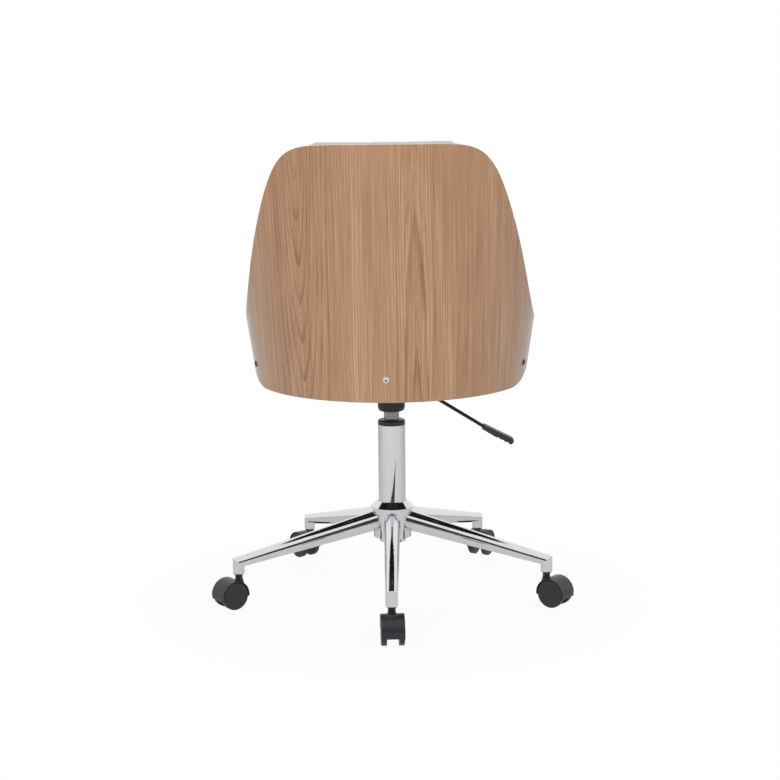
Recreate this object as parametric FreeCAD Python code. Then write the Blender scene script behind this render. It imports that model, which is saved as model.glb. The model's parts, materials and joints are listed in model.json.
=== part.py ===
# Swivel chair with a bent plywood shell on a chromed five-arm base.
# Millimetres. Origin on the floor on the column's axis, +Z up, the sitter faces -Y.
import FreeCAD, Part
import math
import os
from FreeCAD import Placement, Rotation, Vector

# Fits and clearances
running_gap = 0.05
seat_gap = 0.3
play = 0.8

# Base: five arms on a stem circle
arm_count = 5
base_turn = 1.4
stem_circle = 290.0
arm_root = 30.0
arm_root_height = 38.5
arm_root_width = 31.0
arm_root_level = 137.3
arm_end_height = 20.2
arm_end_width = 21.0
arm_end_level = 80.9
arm_wall = 2.0
oval_arcs = 8
socket_wall = 1.6
socket_bottom = 59.6
socket_chamfer = 1.5
socket_depth = 20.0

# Hub round the foot of the column
hub_top = 172.0
hub_rim_radius = 39.2
hub_rim_top = 161.6
hub_rim_thickness = 2.8
hub_skirt_radius = 34.8
hub_skirt_bottom = 105.3
hub_wall = 2.0
hub_ring = 3.0
sleeve_radius = 32.5
sleeve_flat = 28.0
sleeve_top = 163.0

# Column and gas spring
column_radius = 25.0
column_wall = 2.2
column_bottom = 96.4
column_top = 314.0
column_taper = 1.1
column_floor = 2.5
collar_top = 323.6
bush_bottom = 202.0
cylinder_radius = 14.0
cylinder_wall = 1.8
cylinder_stroke = 100.0
cylinder_taper = 0.6
rod_radius = 5.0
rod_foot_radius = 4.0
race_thickness = 1.5
glide_thickness = 2.0
race_radius = 11.0
buffer_radius = 11.5
buffer_height = 12.0
guide_height = 14.0
piston_height = 12.0
clip_thickness = 1.2
clip_radius = 6.6
pin_radius = 3.0
pin_length = 20.0
valve_block = 16.0

# Seat mechanism
cup_bottom = 338.4
cup_radius = 25.0
cup_round = 7.5
pan_wall = 2.5
pan_bottom = 385.0
pan_length = 150.0
pan_width = 74.0
pan_spread = 16.0
taper_depth = 50.0
bush_wall = 3.5
plate_size = 190.0
plate_thickness = 3.0
plate_corner = 18.0
bolt_margin = 17.5
bolt_radius = 4.0
bolt_head_radius = 7.5
bolt_head = 5.0
bolt_length = 17.0

# Height lever
lever_reach = 23.0
lever_radius = 3.2
lever_lift = 8.0
lever_slope = 31.4
lever_rod_length = 178.0
lever_arm_width = 11.0
lever_arm_depth = 7.0
ear_thickness = 3.0
ear_width = 14.0
pivot_radius = 2.5
grip_slope = 27.5
grip_length = 63.0
grip_width = 22.0
grip_depth = 11.5
groove_count = 3
groove_pitch = 9.0
groove_depth = 1.6
grip_socket = 9.0
grip_corner = 4.0

# Seat shell: a little more than half a cone behind, flat wings ahead, raked back as a whole
rake = 2.8
shell_level = 397.0
shell_radius = 242.0
shell_flare = 0.14
shell_wall = 10.0
shell_top = 423.6
shell_foot = 5.5
back_corner = 144.4
back_corner_softness = 13.5
back_edge_slope = 2.1
wing_corner = 287.5
wing_corner_softness = 26.0
wing_edge_slope = 0.12
foot_rise = 26.0
foot_rise_start = 262.0
foot_rise_run = 120.0
wrap_angle = 95.0
wing_length = 145.0
wing_nose = 28.0
wall_blank_top = 460.0
edge_points = 64
edge_cut_reach = 60.0
pad_stations = 9

# Seat board and upholstery
board_bottom = 35.0
board_thickness = 18.0
board_front = 222.0
board_corner = 60.0
cushion_profile = ((0.0, 6.0), (9.0, 1.5), (20.0, 0.0), (31.0, 3.0), (37.0, 9.0), (41.0, 19.0),
                   (44.5, 38.0), (47.5, 70.0), (49.0, 115.0))
cushion_gap = 2.0
cushion_overhang = 12.0
pad_thickness = 26.0
pad_foot = 96.0
pad_rise = 2.0
pad_inset = 14.0
pad_reach = 66.0
pad_edge = 9.0
screw_level = 44.0
screw_radius = 2.2
screw_length = 38.0
washer_radius = 6.0
washer_face = 4.4
washer_height = 2.2
side_screw_angle = 71.5

# Casters
wheel_radius = 25.0
wheel_width = 9.0
wheel_inner_face = 10.2
wheel_ease = 1.0
axle_radius = 3.0
axle_cap = 1.7
caster_trail = 18.0
hood_gap = 0.7
hood_wall = 1.6
hood_overlap = 0.3
hood_rear_angle = -15.0
hood_front_angle = 188.0
web_width = 19.2
web_bottom = 18.0
neck_radius = 6.5
neck_base_radius = 9.5
stem_radius = 5.5
stem_top = 78.0
stem_depth = 15.0
bush_drop = 1.0
bush_top = 73.0
caster_angles = (5, 54, 154, -138, -50)

# Levels and places that follow from the sizes above
X_AXIS = Vector(1, 0, 0)
Y_AXIS = Vector(0, 1, 0)
Z_AXIS = Vector(0, 0, 1)
wrap_length = math.radians(wrap_angle) * shell_radius
flare_angle = math.atan(shell_flare)
race_level = column_bottom + column_floor
glide_level = race_level + race_thickness
washer_level = glide_level + glide_thickness
shoulder_level = washer_level + race_thickness
buffer_top = shoulder_level + seat_gap + buffer_height
cylinder_bottom = buffer_top + 2 * seat_gap
cylinder_top = cup_bottom + taper_depth
piston_top = cylinder_bottom + guide_height + cylinder_stroke + 2 * piston_height
pin_top = cylinder_top + 6.0
lever_underside = pin_top + seat_gap
pivot_level = lever_underside + lever_arm_depth / 2
board_top = board_bottom + board_thickness
plate_bottom = board_bottom - plate_thickness
socket_radius = arm_end_width / 2
socket_bore = socket_radius - socket_wall


def save(name, *solids):
    """Write one node: a single solid or a group of separate solids."""
    shape = solids[0] if len(solids) == 1 else Part.makeCompound(list(solids))
    shape.exportStep(f"parts/{name}.step")


def turned(outline):
    """Solid turned about Z from (radius, level) corners."""
    corners = [Vector(radius, 0, level) for radius, level in outline]
    face = Part.Face(Part.makePolygon(corners + corners[:1]))
    return face.revolve(Vector(), Z_AXIS, 360)


def ring(outer, inner, bottom, top):
    """Plain ring round the column's axis."""
    body = Part.makeCylinder(outer, top - bottom, Vector(0, 0, bottom))
    return body.cut(Part.makeCylinder(inner, top - bottom, Vector(0, 0, bottom)))


def spun(shape, angle):
    """Copy turned about the column's axis."""
    copy = shape.copy()
    copy.rotate(Vector(), Z_AXIS, angle)
    return copy


def raked(shape):
    """Copy moved from the shell's upright frame to its raked place on the column."""
    copy = shape.copy()
    tilt = Placement(Vector(0, 0, shell_level), Rotation(X_AXIS, -rake))
    copy.Placement = tilt.multiply(copy.Placement)
    return copy


def arm_angle(number):
    """Direction of an arm, counted from the one under the back."""
    return base_turn + 360.0 / arm_count * number


# Base

def arm_point(turn, inset, reach):
    """Point of an arm along +Y: a number of arcs round its upright oval section, at a distance out."""
    out = reach - arm_root
    run = stem_circle - arm_root
    height = arm_root_height + (arm_end_height - arm_root_height) / run * out - 2 * inset
    width = arm_root_width + (arm_end_width - arm_root_width) / run * out - 2 * inset
    level = arm_root_level + (arm_end_level - arm_root_level) / run * out
    angle = 2 * math.pi * turn / oval_arcs
    return Vector(width / 2 * math.cos(angle), reach, level + height / 2 * math.sin(angle))


def mitre_plane():
    """A point on the mitre between an arm and its socket, and the slope of the mitre."""
    slope = (arm_end_level - arm_root_level) / (stem_circle - arm_root)
    top = arm_end_level + arm_end_height / 2 + slope * socket_radius
    foot = arm_end_level - arm_end_height / 2 - slope * socket_radius
    return Vector(0, stem_circle, (top + foot) / 2), (top - foot) / (2 * socket_radius)


def arm_end_point(turn, inset):
    """Point where an arm's surface meets the mitre."""
    middle, steepness = mitre_plane()
    near = arm_point(turn, inset, 0)
    step = arm_point(turn, inset, 1) - near
    reach = (middle.z - near.z - steepness * middle.y) / (step.z - steepness)
    return near + step * reach


def arm_oval(points):
    """Closed wire of arcs through points that go once round an arm."""
    arcs = []
    for number in range(0, 2 * oval_arcs, 2):
        arcs.append(Part.Arc(points[number], points[number + 1], points[(number + 2) % len(points)]).toShape())
    return Part.Wire(arcs)


def arm_solid(inset):
    """Tapered arm along +Y, from a flat of the sleeve to its mitred end."""
    turns = [number / 2 for number in range(2 * oval_arcs)]
    root = arm_oval([arm_point(turn, inset, sleeve_flat) for turn in turns])
    end = arm_oval([arm_end_point(turn, inset) for turn in turns])
    return Part.makeLoft([root, end], True, True)


def base_arm():
    """One hollow arm along +Y."""
    return arm_solid(0).cut(arm_solid(arm_wall))


def arm_socket():
    """Upright socket at the end of an arm, bored from below for its bush."""
    middle, steepness = mitre_plane()
    height = arm_end_level + arm_end_height - socket_bottom
    place = Vector(0, stem_circle, socket_bottom)
    body = Part.makeCylinder(socket_radius, height, place)
    body = body.makeChamfer(socket_chamfer, [lowest_edge(body)])
    above = Part.makeBox(80, 200, 80, Vector(-40, -100, 0))
    above.rotate(Vector(), X_AXIS, math.degrees(math.atan(steepness)))
    above.translate(middle)
    return body.cut(above).cut(Part.makeCylinder(socket_bore, socket_depth, place))


def lowest_edge(shape):
    """The round edge that lies lowest."""
    rounds = [edge for edge in shape.Edges if edge.isClosed()]
    return min(rounds, key=lambda edge: edge.CenterOfMass.z)


def stem_bush():
    """Plastic bush in a socket, for the caster's stem."""
    bush = ring(socket_bore, stem_radius + running_gap, socket_bottom - bush_drop, bush_top)
    bush.translate(Vector(0, stem_circle, 0))
    return bush


def column_radius_at(level):
    """Outside of the column tube: straight above the hub, tapered in the sleeve."""
    taper_top = hub_top - hub_ring
    share = min(max((taper_top - level) / (taper_top - column_bottom), 0), 1)
    return column_radius - column_taper * share


def hub_sleeve():
    """Welded sleeve with the column's taper, and a flat for each arm."""
    bottom = hub_skirt_bottom
    sleeve = turned([(column_radius_at(bottom), bottom), (sleeve_radius, bottom),
                     (sleeve_radius, sleeve_top), (column_radius_at(sleeve_top), sleeve_top)])
    beyond = Part.makeBox(60, 20, 100, Vector(-30, sleeve_flat, bottom - 10))
    return sleeve.cut([spun(beyond, arm_angle(number)) for number in range(arm_count)])


def base_hub():
    """Chromed cone and skirt, with an arch for each arm."""
    bore = column_radius + seat_gap
    inside = hub_skirt_radius - hub_wall
    step = hub_rim_top - hub_rim_thickness
    hub = turned([(bore, hub_top), (bore + hub_wall, hub_top),
                  (hub_rim_radius, hub_rim_top), (hub_rim_radius, step),
                  (hub_skirt_radius, step - 1), (hub_skirt_radius, hub_skirt_bottom),
                  (inside, hub_skirt_bottom), (inside, sleeve_top + seat_gap), (bore, hub_top - hub_ring)])
    return hub.cut([spun(arm_solid(0), arm_angle(number)) for number in range(arm_count)])


def column_tube():
    """Tube with a tapered foot and a floor that the piston rod stands on."""
    inner = column_radius - column_wall
    foot_inner = column_radius - column_taper - column_wall
    taper_top = hub_top - hub_ring
    return turned([(rod_foot_radius + seat_gap, column_bottom),
                   (column_radius_at(column_bottom), column_bottom),
                   (column_radius, taper_top), (column_radius, column_top),
                   (inner, column_top), (inner, taper_top), (foot_inner, race_level),
                   (rod_foot_radius + seat_gap, race_level)])


def column_bushing():
    """Plastic guide in the tube, with the collar that shows on top."""
    bore = cylinder_radius + running_gap
    inner = column_radius - column_wall
    return turned([(bore, bush_bottom), (inner, bush_bottom), (inner, column_top),
                   (column_radius, column_top), (column_radius, collar_top - 2),
                   (column_radius - 2, collar_top), (bore + 1, collar_top), (bore, collar_top - 1)])


def bearing_race():
    """Lower race of the thrust bearing, on the column's floor."""
    return ring(race_radius, rod_foot_radius + seat_gap, race_level, glide_level)


def glide_washer():
    """Nylon washer between the two races."""
    return ring(race_radius - play, rod_foot_radius + seat_gap, glide_level, washer_level)


def build_base():
    """Every piece that stays with the arms."""
    save("base_hub", base_hub())
    save("hub_sleeve", hub_sleeve())
    arm = base_arm()
    socket = arm_socket()
    bush = stem_bush()
    turns = [arm_angle(number) for number in range(arm_count)]
    for number, turn in enumerate(turns, 1):
        save(f"base_arm_{number}", spun(arm, turn))
    save("arm_sockets", *[spun(socket, turn) for turn in turns])
    save("stem_bushes", *[spun(bush, turn) for turn in turns])
    save("column_tube", column_tube())
    save("column_bushing", column_bushing())
    save("bearing_race", bearing_race())
    save("glide_washer", glide_washer())


# Gas spring

def piston_rod():
    """Rod that stands in the column's floor on a turned-down foot."""
    foot_bottom = column_bottom - seat_gap - 2 * clip_thickness
    return turned([(0, foot_bottom), (rod_foot_radius, foot_bottom),
                   (rod_foot_radius, shoulder_level), (rod_radius, shoulder_level),
                   (rod_radius, piston_top), (0, piston_top)])


def gas_cylinder():
    """Pressure tube with a tapered head and a bore for the valve pin."""
    inner = cylinder_radius - cylinder_wall
    chamber_top = cylinder_top - valve_block
    pin_bore = pin_radius + running_gap
    return turned([(cylinder_radius, cylinder_bottom), (cylinder_radius, cup_bottom),
                   (cylinder_radius - cylinder_taper, cylinder_top), (pin_bore, cylinder_top),
                   (pin_bore, chamber_top), (inner, chamber_top), (inner, cylinder_bottom)])


def build_gas_spring():
    """Rod and its fittings, which turn, and the cylinder, which also slides."""
    inner = cylinder_radius - cylinder_wall
    guide_top = cylinder_bottom + guide_height
    clip_top = column_bottom - seat_gap
    save("piston_rod", piston_rod())
    save("piston_head", ring(inner - running_gap, rod_radius, piston_top - piston_height, piston_top))
    save("rod_clip", ring(clip_radius, rod_foot_radius, clip_top - clip_thickness, clip_top))
    save("thrust_washer", ring(race_radius, rod_foot_radius, washer_level, shoulder_level))
    save("rubber_buffer", ring(buffer_radius, rod_radius, shoulder_level, buffer_top))
    save("gas_cylinder", gas_cylinder())
    save("rod_guide", ring(inner, rod_radius + running_gap, cylinder_bottom, guide_top))
    save("valve_pin", Part.makeCylinder(pin_radius, pin_length, Vector(0, 0, pin_top - pin_length)))


# Seat mechanism

def rounded_block(width, length, corner, bottom, height):
    """Upright block with rounded corners, centred on the axis."""
    block = Part.makeBox(width, length, height, Vector(-width / 2, -length / 2, bottom))
    uprights = [edge for edge in block.Edges if abs(edge.tangentAt(0).z) > 0.99]
    return block.makeFillet(corner, uprights)


def pan_solid(inset):
    """Outside or inside of the pressed pan, wider towards the plate."""
    low = pan_bottom + inset
    high = shell_level + board_bottom + 30
    levels = []
    for level, spread in ((low, 0.0), (high, pan_spread)):
        width = pan_width + spread - 2 * inset
        length = pan_length + spread - 2 * inset
        levels.append(rounded_rectangle(width, length, 16.0 - inset, level))
    return Part.makeLoft(levels, True, True)


def rounded_rectangle(width, length, corner, level):
    """Level rectangle with rounded corners, as a wire."""
    block = rounded_block(width, length, corner, level, 1.0)
    bottom = min(block.Faces, key=lambda face: face.CenterOfMass.z)
    return bottom.OuterWire


def above_plate():
    """Everything higher than the underside of the raked plate."""
    return raked(Part.makeBox(600, 600, 200, Vector(-300, -300, plate_bottom)))


def mechanism_pan():
    """Pressed pan with the cup that shows under the shell."""
    cup_wall_inside = cup_radius - pan_wall
    inner_floor = cup_bottom + pan_wall
    lip = cylinder_radius + bush_wall
    cup = turned([(lip, cup_bottom), (cup_radius - cup_round, cup_bottom),
                  (cup_radius - cup_round * 0.29, cup_bottom + cup_round * 0.29),
                  (cup_radius, cup_bottom + cup_round), (cup_radius, pan_bottom + pan_wall),
                  (cup_wall_inside, pan_bottom + pan_wall), (cup_wall_inside, inner_floor + cup_round),
                  (cup_radius - cup_round, inner_floor), (lip, inner_floor)])
    tray = pan_solid(0).cut(pan_solid(pan_wall)).cut(above_plate())
    tray = tray.cut(Part.makeCylinder(cup_wall_inside, 20, Vector(0, 0, pan_bottom - 5)))
    slot_depth = 2 * lever_radius + 2 * play
    slot = Part.makeBox(30, slot_depth, 14, Vector(-pan_width / 2 - 20, -slot_depth / 2, pan_bottom - 1))
    return tray.fuse(cup).cut(slot)


def taper_socket():
    """Steel bush with the taper that the gas cylinder is pushed into."""
    top = cylinder_top - play
    bore_top = cylinder_radius - cylinder_taper * (top - cup_bottom) / taper_depth
    outer = cylinder_radius + bush_wall
    return turned([(cylinder_radius, cup_bottom), (outer, cup_bottom), (outer, top), (bore_top, top)])


def bolt_places():
    """Four bolt centres in the shell's frame."""
    half = plate_size / 2 - bolt_margin
    return [Vector(x, y, 0) for x in (-half, half) for y in (-half, half)]


def pivot_bore(clearance):
    """Bore for the lever's pin, through both ears."""
    foot = Vector(-lever_reach, -plate_size / 4, pivot_level)
    return Part.makeCylinder(pivot_radius + clearance, plate_size / 2, foot, Y_AXIS)


def mechanism_plate():
    """Raked plate under the seat board, with two ears for the lever's pivot."""
    plate = rounded_block(plate_size, plate_size, plate_corner, plate_bottom, plate_thickness)
    for place in bolt_places():
        drill = Part.makeCylinder(bolt_radius + seat_gap, 3 * plate_thickness)
        drill.translate(place + Vector(0, 0, plate_bottom - plate_thickness))
        plate = plate.cut(drill)
    plate = raked(plate)
    ear_inside = lever_arm_width / 2 + play
    for side in (-1, 1):
        near = side * ear_inside if side > 0 else -ear_inside - ear_thickness
        bottom = pivot_level - ear_width / 2
        ear = Part.makeBox(ear_width, ear_thickness, plate_size, Vector(-lever_reach - ear_width / 2, near, bottom))
        ear = ear.cut(above_plate())
        plate = plate.fuse(ear)
    return plate.cut(pivot_bore(0))


def plate_bolt(place):
    """Wood screw with a round head, from under the plate up into the board."""
    head = Part.makeCylinder(bolt_head_radius, bolt_head, place + Vector(0, 0, plate_bottom - bolt_head))
    shank = Part.makeCylinder(bolt_radius, bolt_length, place + Vector(0, 0, plate_bottom - 1))
    return raked(head.fuse(shank))


def build_mechanism():
    """Pan, plate and their fastenings."""
    ear_outside = lever_arm_width / 2 + play + ear_thickness
    pin_foot = Vector(-lever_reach, -ear_outside - 1, pivot_level)
    save("mechanism_pan", mechanism_pan())
    save("taper_socket", taper_socket())
    save("mechanism_plate", mechanism_plate())
    save("lever_pin", Part.makeCylinder(pivot_radius, 2 * ear_outside + 2, pin_foot, Y_AXIS))
    save("plate_bolts", *[plate_bolt(place) for place in bolt_places()])


# Height lever

def along_lever(start, slope, distance):
    """Point down the lever from a start in the XZ plane."""
    angle = math.radians(slope)
    return start - Vector(distance * math.cos(angle), 0, distance * math.sin(angle))


def lever_rod():
    """Flat arm over the valve pin, and the round rod that slopes down to the grip."""
    arm_run = lever_reach + pin_radius + ear_width
    arm = Part.makeBox(arm_run, lever_arm_width, lever_arm_depth,
                       Vector(-lever_reach - ear_width / 2, -lever_arm_width / 2, lever_underside))
    start = Vector(-lever_reach, 0, pivot_level)
    end = along_lever(start, lever_slope, lever_rod_length)
    rod = Part.makeCylinder(lever_radius, lever_rod_length, start, end - start)
    return arm.fuse(rod).cut(pivot_bore(running_gap))


def lever_grip():
    """Flat plastic grip with finger grooves under its tip."""
    top = grip_depth * 0.45
    foot = top - grip_depth
    tip = grip_length
    groove_end = tip - groove_pitch * 0.9
    corner = Vector(tip - grip_depth * 0.5, 0, foot)
    edges = [Part.makeLine(Vector(0, 0, top - 1), Vector(tip - grip_depth * 0.5, 0, top)),
             Part.Arc(Vector(tip - grip_depth * 0.5, 0, top), Vector(tip, 0, (top + foot) / 2), corner).toShape()]
    point = corner
    for number in range(groove_count):
        after = point - Vector(groove_pitch, 0, 0)
        middle = (point + after) * 0.5 + Vector(0, 0, groove_depth)
        edges.append(Part.Arc(point, middle, after).toShape())
        point = after
    edges.append(Part.makeLine(point, Vector(0, 0, foot + 2)))
    edges.append(Part.makeLine(Vector(0, 0, foot + 2), Vector(0, 0, top - 1)))
    side = Part.Face(Part.Wire(edges))
    grip = side.extrude(Vector(0, grip_width, 0))
    grip.translate(Vector(0, -grip_width / 2, 0))
    plan = rounded_block(2 * grip_length, grip_width, grip_corner, -grip_depth, 2 * grip_depth)
    grip = grip.common(plan)
    start = along_lever(Vector(-lever_reach, 0, pivot_level), lever_slope, lever_rod_length - grip_socket)
    direction = Rotation(Y_AXIS, -grip_slope).multiply(Rotation(Z_AXIS, 180))
    grip.Placement = Placement(start, direction)
    rod_end = along_lever(Vector(-lever_reach, 0, pivot_level), lever_slope, lever_rod_length)
    bore = Part.makeCylinder(lever_radius, 2 * grip_socket, rod_end, start - rod_end)
    return grip.cut(bore)


# Seat shell

def soft_corner(distance, softness):
    """Zero before a corner, rising in step with distance after it, rounded between."""
    return softness * math.log(1 + math.exp(distance / softness))


def top_edge(along):
    """Height of the shell's cut edge at a distance round from the middle of the back."""
    away = abs(along)
    fall = back_edge_slope * soft_corner(away - back_corner, back_corner_softness)
    lift = (back_edge_slope - wing_edge_slope) * soft_corner(away - wing_corner, wing_corner_softness)
    return shell_top - fall + lift


def foot_edge(along):
    """Height of the shell's lower edge, which rises into the wings."""
    share = min(max((abs(along) - foot_rise_start) / foot_rise_run, 0), 1)
    return shell_foot + foot_rise * share * share * (3 - 2 * share)


def shell_point(along, height, depth):
    """Point of the shell: distance round from the back, height, depth in from the outside."""
    angle = math.copysign(min(abs(along), wrap_length) / shell_radius, along)
    ahead = max(abs(along) - wrap_length, 0)
    reach = shell_radius + shell_flare * height - depth * math.cos(flare_angle)
    across = reach * math.sin(angle) + math.copysign(ahead, along) * math.cos(angle)
    behind = reach * math.cos(angle) - ahead * math.sin(abs(angle))
    return Vector(across, behind, height + depth * math.sin(flare_angle))


def shell_back_blank():
    """Wrapped part of the wall, before its edges are cut."""
    corners = [shell_point(0, height, depth) for height, depth in
               ((0, 0), (wall_blank_top, 0), (wall_blank_top, shell_wall), (0, shell_wall))]
    profile = Part.Face(Part.makePolygon(corners + corners[:1]))
    profile.rotate(Vector(), Z_AXIS, -wrap_angle)
    return profile.revolve(Vector(), Z_AXIS, 2 * wrap_angle)


def edge_cutter(edge, sweep):
    """Solid on one side of a cut edge, bounded by a band that stands square to the wall."""
    end = wrap_length + shell_wall
    rails = []
    for depth in (-edge_cut_reach, shell_wall + edge_cut_reach):
        rail = Part.BSplineCurve()
        places = [end * (2 * number / edge_points - 1) for number in range(edge_points + 1)]
        rail.interpolate([shell_point(along, edge(along), depth) for along in places])
        rails.append(rail.toShape())
    return Part.makeRuledSurface(*rails).extrude(Vector(0, 0, sweep))


def shell_wing(side):
    """Flat wing that carries the wall forwards to a rounded end."""
    tip = wrap_length + wing_length
    outline = [(wrap_length, foot_edge(tip)), (wrap_length, top_edge(wrap_length)),
               (tip, top_edge(tip)), (tip, foot_edge(tip))]
    corners = [shell_point(side * along, height, 0) for along, height in outline]
    inwards = shell_point(side * tip, 0, shell_wall) - shell_point(side * tip, 0, 0)
    wing = Part.Face(Part.makePolygon(corners + corners[:1])).extrude(inwards)
    across = [edge for edge in wing.Edges if edge.Length < 2 * shell_wall]
    across.sort(key=lambda edge: edge.CenterOfMass.y)
    return wing.makeFillet(wing_nose, across[:2])


def seat_shell():
    """Bent plywood wall, cut square to its face all round."""
    wall = shell_back_blank()
    wall = wall.cut([edge_cutter(top_edge, wall_blank_top), edge_cutter(foot_edge, -wall_blank_top)])
    wall = wall.fuse([shell_wing(-1), shell_wing(1)])
    wall = wall.cut([screw_hole(number) for number in range(len(screw_places()))])
    return raked(wall)


def screw_places():
    """Distances round the shell of the screws that hold the board."""
    side = math.radians(side_screw_angle) * shell_radius
    return [0.0, side, -side]


def screw_frame(number):
    """Placement on the outside of the shell, with +Z pointing inwards."""
    along = screw_places()[number]
    outside = shell_point(along, screw_level, 0)
    inside = shell_point(along, screw_level, shell_wall)
    return Placement(outside, Rotation(Z_AXIS, inside - outside))


def screw_hole(number):
    """Clearance hole for a screw through the wall."""
    hole = Part.makeCylinder(screw_radius, 3 * shell_wall, Vector(0, 0, -shell_wall))
    hole.Placement = screw_frame(number)
    return hole


def shell_screw(number):
    """Screw from under its washer into the board."""
    screw = Part.makeCylinder(screw_radius, screw_length)
    screw.Placement = screw_frame(number)
    return raked(screw)


def cup_washer(number):
    """Bright dished washer with the screw's head let in."""
    washer = Part.makeCone(washer_radius, washer_face, washer_height)
    washer.rotate(Vector(), X_AXIS, 180)
    washer.Placement = screw_frame(number).multiply(washer.Placement)
    return raked(washer)


# Seat board and upholstery

def seat_outline(level, inset, front):
    """Outline that follows the inside of the shell, open to a rounded front."""
    radius = shell_radius + shell_flare * level - shell_wall / math.cos(flare_angle) - inset
    corner = max(board_corner - inset, board_corner / 5)
    wrap = math.radians(wrap_angle)
    side_run = (front + radius * math.cos(wrap)) / math.sin(wrap)
    turn = corner * math.tan(math.radians(180 - wrap_angle) / 2)
    back = Vector(0, radius, level)
    halves = []
    for side in (1, -1):
        bow = Vector(side * radius * math.sin(wrap / 2), radius * math.cos(wrap / 2), level)
        flank = Vector(side * radius * math.sin(wrap), radius * math.cos(wrap), level)
        forwards = Vector(side * math.cos(wrap), -math.sin(wrap), 0)
        tip = flank + forwards * side_run
        bend = tip - forwards * turn
        toe = tip - Vector(side * turn, 0, 0)
        inwards = Vector(-side * math.sin(wrap), -math.cos(wrap), 0)
        centre = bend + inwards * corner
        middle = centre + (tip - centre).normalize() * corner
        halves.append(([Part.Arc(back, bow, flank).toShape(), Part.makeLine(flank, bend),
                        Part.Arc(bend, middle, toe).toShape()], toe))
    nose = Part.makeLine(halves[0][1], halves[1][1])
    return Part.Wire(halves[0][0] + [nose] + halves[1][0][::-1])


def seat_board():
    """Board inside the shell, on the plate, with holes for its screws."""
    outline = seat_outline(board_bottom, seat_gap, board_front)
    board = raked(Part.Face(outline).extrude(Vector(0, 0, board_thickness)))
    for place in bolt_places():
        board = board.cut(plate_bolt(place))
    for number in range(len(screw_places())):
        pilot = Part.makeCylinder(screw_radius, screw_length)
        pilot.Placement = screw_frame(number)
        board = board.cut(raked(pilot))
    return board


def seat_cushion():
    """Cushion with drawn-in sides and a crowned top."""
    foot = board_top + seat_gap
    front = board_front + cushion_overhang
    outlines = []
    for rise, inset in cushion_profile:
        inset += cushion_gap
        outlines.append(seat_outline(foot + rise, inset, front - inset))
    return raked(Part.makeLoft(outlines, True, True))


def pad_top(along):
    """Height of the pad's upper edge: proud of the shell behind, inset beside."""
    rise = pad_rise + pad_inset
    share = min(max((abs(along) - back_corner + 45) / 55, 0), 1)
    return top_edge(along) + pad_rise - rise * share * share * (3 - 2 * share)


def pad_section(along):
    """Cross-section of the back pad: flat behind, crowned in front, drawn in at its edges."""
    low = pad_foot
    high = pad_top(along)
    behind = shell_wall + seat_gap
    face = behind + pad_thickness
    rim = behind + pad_thickness * 0.55
    middle = (low + high) / 2

    def at(height, depth):
        return shell_point(along, height, depth)

    edges = [Part.makeLine(at(low + 2, behind), at(high - 2, behind)),
             Part.Arc(at(high - 2, behind), at(high, behind + pad_edge), at(high - 4, rim + 4)).toShape(),
             Part.Arc(at(high - 4, rim + 4), at(middle, face), at(low + 4, rim + 4)).toShape(),
             Part.Arc(at(low + 4, rim + 4), at(low, behind + pad_edge), at(low + 2, behind)).toShape()]
    return Part.Wire(edges)


def back_pad():
    """Upholstered pad that lines the back of the shell."""
    reach = math.radians(pad_reach) * shell_radius
    shares = [number / pad_stations for number in range(-pad_stations, pad_stations + 1)]
    sections = [pad_section(reach * share) for share in shares]
    return raked(Part.makeLoft(sections, True, True))


def build_seat():
    """Shell, board and upholstery."""
    numbers = range(len(screw_places()))
    save("seat_shell", seat_shell())
    save("shell_screws", *[shell_screw(number) for number in numbers])
    save("cup_washers", *[cup_washer(number) for number in numbers])
    save("seat_board", seat_board())
    save("seat_cushion", seat_cushion())
    save("back_pad", back_pad())


# Casters, each made with its stem on the axis and its wheels trailing along +Y

def axle_line(shape):
    """Turn a solid made about Z so that it lies on the axle's line."""
    shape.rotate(Vector(), Y_AXIS, 90)
    shape.translate(Vector(0, caster_trail, wheel_radius))
    return shape


def caster_wheel(side):
    """Wheel with a closed outer face, bored from inside for the axle."""
    inner = wheel_inner_face
    outer = inner + wheel_width
    bore = axle_radius + running_gap
    outline = [(bore, inner), (wheel_radius, inner), (wheel_radius, outer - wheel_ease),
               (wheel_radius - wheel_ease, outer), (0, outer), (0, outer - axle_cap), (bore, outer - axle_cap)]
    wheel = axle_line(turned(outline))
    if side < 0:
        wheel = wheel.mirror(Vector(), X_AXIS)
    return wheel


def caster_axle():
    """Axle pressed through the hood's web."""
    half = wheel_inner_face + wheel_width - axle_cap - running_gap
    return axle_line(Part.makeCylinder(axle_radius, 2 * half, Vector(0, 0, -half)))


def hood_fender():
    """Thin arch over both wheels."""
    inner = wheel_radius + hood_gap
    half = wheel_inner_face + wheel_width + hood_overlap
    corners = [Vector(-half, inner, 0), Vector(half, inner, 0),
               Vector(half, inner + hood_wall, 0), Vector(-half, inner + hood_wall, 0)]
    face = Part.Face(Part.makePolygon(corners + corners[:1]))
    fender = face.revolve(Vector(), X_AXIS, hood_front_angle - hood_rear_angle)
    fender.rotate(Vector(), X_AXIS, hood_rear_angle)
    fender.translate(Vector(0, caster_trail, wheel_radius))
    return fender


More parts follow.
